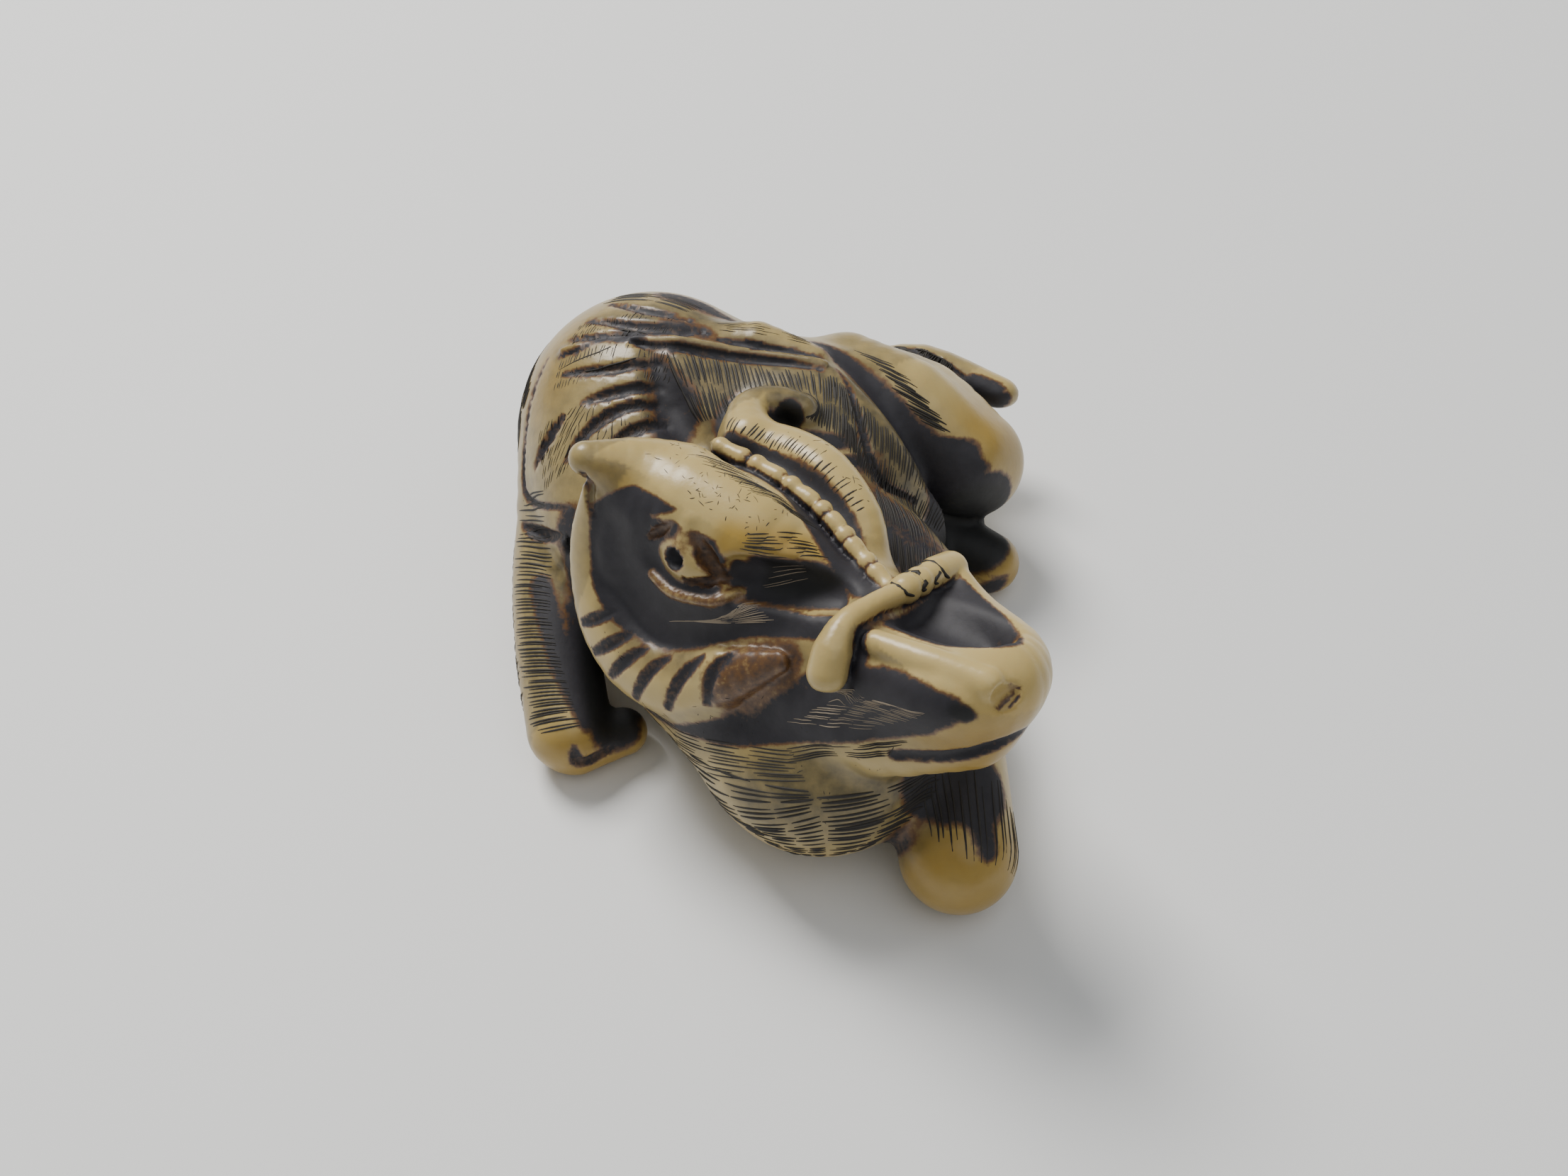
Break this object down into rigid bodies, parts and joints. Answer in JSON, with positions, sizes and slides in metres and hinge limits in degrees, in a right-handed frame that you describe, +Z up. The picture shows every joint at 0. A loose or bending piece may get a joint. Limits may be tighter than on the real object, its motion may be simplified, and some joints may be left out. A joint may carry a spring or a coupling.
{
  "type": "netsuke",
  "caption": "Carved netsuke of a haltered ox lying curled, its head turned to the side over folded forelegs, in stained and polished antler",
  "frame": {"origin": "centre of the bounding box, at the level of the worn underside", "axes": "+Z up from the surface it rests on; -Y the way the brisket and knees face; +X the side the muzzle turns to; the curled back lies toward +Y"},
  "size_m": [0.0428, 0.0528, 0.0275],
  "materials": {
    "antler": "hand polished stag antler or ivory, warm cream, worn golden on the high places, with near-black stain in the cut lines and hollows"
  },
  "bodies": {
    "root": {"netsuke": "antler"}
  },
  "joints": []
}
